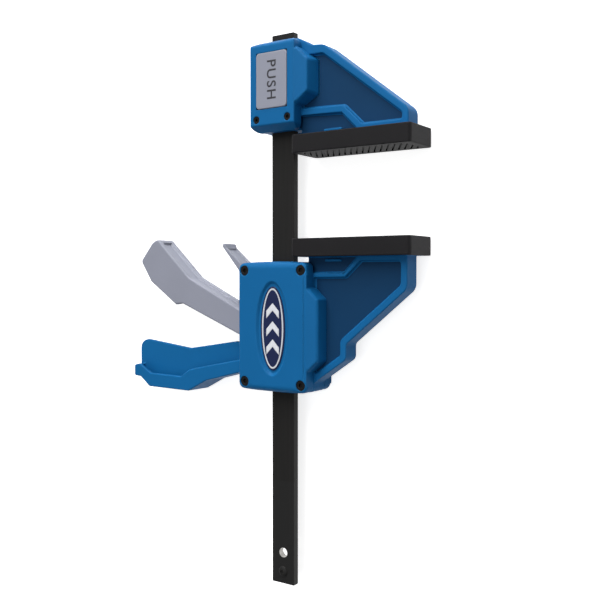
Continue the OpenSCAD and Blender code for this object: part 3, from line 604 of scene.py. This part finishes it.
# wall, seam, roll, ridge and crest are places on X: the cover's side, the bulge's edge on the
# roll, the start of the roll, and the start and end of the slope. draft and pinch are how far
# the wall and the two ends lean in, late is how much lower the upper end starts, and proud is
# how far the top's outer edge stands out.
Bulge = namedtuple("Bulge", "wall seam roll ridge crest draft pinch late proud")
JAW_BULGE = Bulge(wall=0.0308, seam=0.0304, roll=0.0278, ridge=0.0293, crest=0.0372,
                  draft=0.0014, pinch=(0.0, 0.0), late=0.0042, proud=0.0)
HEAD_BULGE = Bulge(wall=0.0200, seam=0.0200, roll=0.0190, ridge=0.0190, crest=0.0294,
                   draft=0.0048, pinch=(0.0026, 0.0012), late=0.0, proud=0.0010)


def share(value, start, end):
    """How far a value is on its way from start to end, from 0 to 1."""
    return min(1.0, max(0.0, (value - start) / (end - start)))


def flush_bulge(bm, b):
    """Runs the cover's face on into its bulge and gives the bulge its slope and draft."""
    on_seam = [v.co.y for v in bm.verts
               if near(v.co.x, b.seam, 0.0001) and near(abs(v.co.z), STEP)]
    start, end = min(on_seam), max(on_seam)
    far = max(v.co.x for v in bm.verts)
    halfway = (start + end) / 2
    for v in bm.verts:
        if v.co.x > b.seam - 0.0001 and halfway < v.co.y < end + PAST_END:
            v.co.y -= b.late * (1 - share(v.co.x, b.wall, far))
    end -= b.late
    for y in (start - RUN_OUT, start, end, end + RUN_OUT):
        strip = [f for f in bm.faces
                 if all(b.roll - 0.0001 < v.co.x < b.wall + 0.0001 and abs(v.co.z) > ROLL_DEPTH
                        for v in f.verts)]
        parts = dict.fromkeys(strip)
        parts.update(dict.fromkeys(e for f in strip for e in f.edges))
        parts.update(dict.fromkeys(v for f in strip for v in f.verts))
        bmesh.ops.bisect_plane(bm, geom=list(parts), plane_co=(0, y, 0), plane_no=(0, 1, 0))

    def slope(x):
        return FACE - (FACE - STEP) * max(0.0, x - b.ridge) / (b.crest - b.ridge)

    def by_a_screw(spot):
        return any((spot.xy - screw).length < SCREW_RECESS for screw in SCREW_SPOTS)

    for v in bm.verts:
        depth = abs(v.co.z)
        side = 1 if v.co.z > 0 else -1
        if v.co.x > b.wall + 0.00005 and depth > WALL_FOOT:
            out = (v.co.x - b.wall) / (far - b.wall)
            rise, top = share(depth, WEB, STEP), share(depth, CORE, STEP)
            v.co.x -= b.draft * rise * out
            v.co.y += (b.pinch[0] if v.co.y < halfway else -b.pinch[1]) * rise * out
            if depth > CORE:
                v.co.x += b.proud * out * top
                v.co.z = side * (depth + (slope(v.co.x) - STEP) * top)
            elif depth > WEB + 0.0005:
                v.co.z = side * (WEB + 0.00002)
        elif (start - 0.00001 < v.co.y < end + 0.00001 and v.co.x > b.roll - 0.00001
              and depth > ROLL_DEPTH and not by_a_screw(v.co)):
            v.co.z = side * slope(v.co.x)
    print("bulge runs from", round(start * 1000, 1), "to", round(end * 1000, 1),
          "mm, out to", round(far * 1000, 1))


# %% Covers and the oval inlay
OVAL_LOW, OVAL_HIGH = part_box("oval_inlay")
OVAL_MIDDLE = (OVAL_LOW + OVAL_HIGH) / 2
OVAL_RIM = (0.0149, 0.0353)
OVAL_DEEPER, OVAL_SLOPE, OVAL_ROUND = 0.0009, 0.0020, 0.0005
INLAY_TOP = OVAL_HIGH.z - OVAL_DEEPER


def deepen_oval(bm):
    """Lowers the floor of the oval recess and draws it in, which gives the wall a slope."""
    for v in bm.verts:
        off = v.co - OVAL_MIDDLE
        if (near(v.co.z, OVAL_LOW.z, 0.00002) and abs(off.x) < OVAL_RIM[0] + 0.0002
                and abs(off.y) < OVAL_RIM[1] + 0.0003):
            v.co.x -= off.x * OVAL_SLOPE / OVAL_RIM[0]
            v.co.y -= off.y * OVAL_SLOPE / OVAL_RIM[1]
            v.co.z -= OVAL_DEEPER


def off_the_oval(spot):
    """True away from the rim of the oval recess, the only edge of a cover rounded here."""
    off = spot - OVAL_MIDDLE
    return (abs(math.hypot(off.x / OVAL_RIM[0], off.y / OVAL_RIM[1]) - 1) > 0.03
            or spot.z < FACE - 0.0002)


for node, bulge in (("front_cover", JAW_BULGE), ("back_cover", JAW_BULGE),
                    ("head_front_cover", HEAD_BULGE), ("head_back_cover", HEAD_BULGE)):
    bm = whole_faces(node)
    if node == "front_cover":
        deepen_oval(bm)
    flush_bulge(bm, bulge)
    bmesh.ops.dissolve_limit(bm, angle_limit=FLAT, verts=bm.verts, edges=bm.edges)
    if node == "front_cover":
        soften(bm, OVAL_ROUND, True, off_the_oval, turn=40)
    replaced_by(bm, node, sharp_from=20,
                crisp=lambda p: near(p.x, bulge.ridge, 0.0002) and abs(p.z) > FACE - 0.0002)

bm = whole_faces("oval_inlay")
bmesh.ops.translate(bm, verts=bm.verts, vec=(0, 0, -OVAL_DEEPER))
replaced_by(bm, "oval_inlay")

# %% [markdown]
# ## Grey parts, screws, pads and bar
# The trigger's groove is shallower than in the solids, and its walls lean outwards, so its
# floor is raised and made narrower. The button and the screws only take a fine round edge.

# %% Trigger, release lever, button and screws
GROOVE_HALF, GROOVE_RAISED, GROOVE_LEAN = 0.0056, 0.0013, 0.8

replaced_by(whole_faces("release_lever"), "release_lever")
bm = whole_faces("trigger")
normals_at = {}
for f in bm.faces:
    if f.normal.y > 0.1 and near(max(abs(v.co.z) for v in f.verts), GROOVE_HALF, 0.00003):
        for v in f.verts:
            normals_at.setdefault(v, []).append(f.normal.copy())
for v, normals in normals_at.items():
    v.co += sum(normals, Vector()).normalized() * GROOVE_RAISED
    v.co.z *= GROOVE_LEAN
print("groove corners raised:", len(normals_at))
soften(bm, 0.0003, True)
replaced_by(bm, "trigger")
for node, width in (("push_button", 0.0002), ("cover_screws", 0.0003), ("head_screws", 0.00025)):
    bm = whole_faces(node)
    soften(bm, width, True)
    replaced_by(bm, node)

# %% [markdown]
# The pads' grooves run at a slant across the face that meets the work. The solids keep them
# square, so the face is made anew: the old grooves are taken out and slanted ones put in.
# Each groove is a leaning strip, cut off where it would leave the grooved field.

# %% Pads
GROOVES, GROOVE_SLANT = 18, math.tan(math.radians(31))
GROOVE_WIDE, GROOVE_DEEP = 0.0014, 0.0015
GROOVE_SHORTEST, FIELD_MARGIN = 0.004, 0.0017
STRIPS_BEYOND = 3  # strips that start past each end of the field and lean into it


def clipped(points, axis, limit, keep_below):
    """The part of a convex outline on one side of a limit."""
    kept = []
    for i, p in enumerate(points):
        q = points[(i + 1) % len(points)]
        p_in, q_in = ((r[axis] <= limit) == keep_below for r in (p, q))
        if p_in:
            kept.append(p)
        if p_in != q_in:
            part = (limit - p[axis]) / (q[axis] - p[axis])
            kept.append(tuple(a + (b - a) * part for a, b in zip(p, q)))
    return kept


def slant_grooves(bm, node, outward):
    """Replaces the square grooves of a pad's working face by slanted ones."""
    low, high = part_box(node)
    face_y = low.y if outward < 0 else high.y
    floor_spots = [v.co.copy() for v in bm.verts
                   if near(abs(v.co.y - face_y), GROOVE_DEEP, 0.00003)
                   and abs(v.co.z) < high.z - 0.001 and low.x + 0.001 < v.co.x < high.x - 0.001]
    x_low, x_high = min(p.x for p in floor_spots), max(p.x for p in floor_spots)
    half = max(abs(p.z) for p in floor_spots)

    def in_field(v):
        return (abs(v.co.y - face_y) < GROOVE_DEEP + 0.0001 and abs(v.co.z) < half + 0.0001
                and x_low - 0.0001 < v.co.x < x_high + 0.0001)

    old = [f for f in bm.faces if all(in_field(v) for v in f.verts)
           or (abs(f.normal.y) > 0.99 and near(f.calc_center_median().y, face_y))]
    bmesh.ops.delete(bm, geom=old, context="FACES")
    outline = [e for e in bm.edges if e.is_boundary]
    pitch = (x_high - x_low + 2 * FIELD_MARGIN) / GROOVES
    lean = half * GROOVE_SLANT
    cut = 0
    for i in range(-STRIPS_BEYOND, GROOVES + STRIPS_BEYOND):
        x = x_low - FIELD_MARGIN + (i + 0.5) * pitch
        x_left, x_right = x - GROOVE_WIDE / 2, x + GROOVE_WIDE / 2
        shape = [(x_left - lean, -half), (x_right - lean, -half),
                 (x_right + lean, half), (x_left + lean, half)]
        shape = clipped(clipped(shape, 0, x_low, False), 0, x_high, True)
        heights = [z for _, z in shape]
        if len(shape) < 3 or max(heights) - min(heights) < GROOVE_SHORTEST:
            continue
        rim = [bm.verts.new((px, face_y, pz)) for px, pz in shape]
        floor_ring = [bm.verts.new((px, face_y - outward * GROOVE_DEEP, pz)) for px, pz in shape]
        for a in range(len(rim)):
            b = (a + 1) % len(rim)
            bm.faces.new((rim[a], rim[b], floor_ring[b], floor_ring[a]))
            outline.append(bm.edges.get((rim[a], rim[b])))
        bm.faces.new(floor_ring)
        cut += 1
    bmesh.ops.triangle_fill(bm, edges=outline, use_beauty=False, normal=(0, outward, 0))
    bmesh.ops.recalc_face_normals(bm, faces=bm.faces)
    print(node, "has", cut, "slanted grooves")


for node, outward in (("fixed_pad", -1), ("moving_pad", 1)):
    bm = whole_faces(node)
    slant_grooves(bm, node, outward)
    soften(bm, 0.0002, True)
    replaced_by(bm, node)

# %% [markdown]
# The bar takes a fine round edge. The wall of its open hole is bright, because the black
# coating wears off where the bar hangs on a hook.

# %% Bar
HOLE_RADIUS = 0.0037

bm = whole_faces("bar")
soften(bm, 0.0003, True, turn=60)
for f in bm.faces:
    spot = f.calc_center_median()
    if abs(f.normal.z) < 0.5 and math.hypot(spot.x, spot.y) < HOLE_RADIUS + 0.00002:
        f.material_index = 1
replaced_by(bm, "bar", bright_steel)

# %% [markdown]
# ## Lettering and inlay
# The button carries a plain word that tells what to do with it. It is printed, so the letters
# are flat shapes a hair above the button. The oval inlay has a generic motif of its own: a
# pale ring and three chevrons that point the way the jaw travels.

# %% Word on the button
WORD_SIZE, WORD_SPACING, WORD_BOLDER = 0.0112, 1.17, 0.00012
WORD_THICKNESS, WORD_GAP = 0.00006, 0.00001
WORD_MIDDLE_Y = 0.3557

word = bpy.data.curves.new("word", "FONT")
word.body = "PUSH"
word.align_x = "CENTER"
word.align_y = "CENTER"
word.size = WORD_SIZE
word.space_character = WORD_SPACING
word.offset = WORD_BOLDER
word.extrude = WORD_THICKNESS
word_object = bpy.data.objects.new("word", word)
scene.collection.objects.link(word_object)
bpy.context.view_layer.update()
shaped = word_object.evaluated_get(bpy.context.evaluated_depsgraph_get())
letters = bpy.data.meshes.new_from_object(shaped)
bpy.data.objects.remove(word_object)
button_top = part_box("push_button")[1].z
letters.transform(Matrix.Translation((0, WORD_MIDDLE_Y, button_top + WORD_GAP))
                  @ Matrix.Rotation(math.radians(-90), 4, "Z"))
letters.materials.clear()
letters.materials.append(print_dark)
printed_word = bpy.data.objects.new("button_word", letters)
scene.collection.objects.link(printed_word)
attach(printed_word, "button")
print("word spans", [round(v * 1000, 1) for v in printed_word.dimensions])

# %% Motif of the inlay
PRINT_THICKNESS = 0.0001
RING_OUTER, RING_WIDTH, RING_STEPS = (0.0098, 0.0300), 0.0013, 64
CHEVRON_STEP, CHEVRON_HALF = 0.0135, 0.0058
CHEVRON_TIP, CHEVRON_NOTCH = 0.0055, -0.0001
CHEVRON_SHOULDER, CHEVRON_FOOT = -0.0005, -0.0060


def ring_of_verts(bm, rx, ry):
    """Corners of an ellipse around the middle of the oval, on the inlay's face."""
    turns = [2 * math.pi * i / RING_STEPS for i in range(RING_STEPS)]
    return [bm.verts.new((OVAL_MIDDLE.x + rx * math.cos(a), OVAL_MIDDLE.y + ry * math.sin(a),
                          INLAY_TOP)) for a in turns]


def printed(bm, name):
    """Raises flat shapes by the thickness of the print and makes them a piece of the jaw."""
    raised = bmesh.ops.extrude_face_region(bm, geom=list(bm.faces))
    top = [v for v in raised["geom"] if isinstance(v, bmesh.types.BMVert)]
    bmesh.ops.translate(bm, verts=top, vec=(0, 0, PRINT_THICKNESS))
    bmesh.ops.recalc_face_normals(bm, faces=bm.faces)
    piece_from(bm, name, [print_white], "jaw", "inlay_plastic")


bm = bmesh.new()
outer = ring_of_verts(bm, *RING_OUTER)
inner = ring_of_verts(bm, RING_OUTER[0] - RING_WIDTH, RING_OUTER[1] - RING_WIDTH)
for i in range(RING_STEPS):
    j = (i + 1) % RING_STEPS
    bm.faces.new((outer[i], outer[j], inner[j], inner[i]))
printed(bm, "inlay_ring")

bm = bmesh.new()
for row in (-1, 0, 1):
    x0, y0 = OVAL_MIDDLE.x, OVAL_MIDDLE.y + row * CHEVRON_STEP
    outline = [(x0, y0 + CHEVRON_TIP),
               (x0 - CHEVRON_HALF, y0 + CHEVRON_SHOULDER), (x0 - CHEVRON_HALF, y0 + CHEVRON_FOOT),
               (x0, y0 + CHEVRON_NOTCH),
               (x0 + CHEVRON_HALF, y0 + CHEVRON_FOOT), (x0 + CHEVRON_HALF, y0 + CHEVRON_SHOULDER)]
    bm.faces.new([bm.verts.new((x, y, INLAY_TOP)) for x, y in outline])
printed(bm, "inlay_chevrons")

# %% [markdown]
# ## Moving parts
# Every piece already rides on its body. The three springs are different: one end stays where
# it is while the other is pushed. Each spring gets a mesh of its own and an anchor at its
# fixed end.

# %% Springs and their fixed ends
Y, Z = 1, 2
TRAVELS = (("drive_spring", "trigger_swing", Y, 0.1355, 0.00295),
           ("brake_spring", "release_swing", Y, 0.1880, 0.00105),
           ("lock_spring", "button_press", Z, -0.0149, 0.0042))
for node, joint, axis, fixed_end, travel in TRAVELS:
    low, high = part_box(node)
    anchor = (low + high) / 2
    anchor[axis] = fixed_end
    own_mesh(nodes[node])
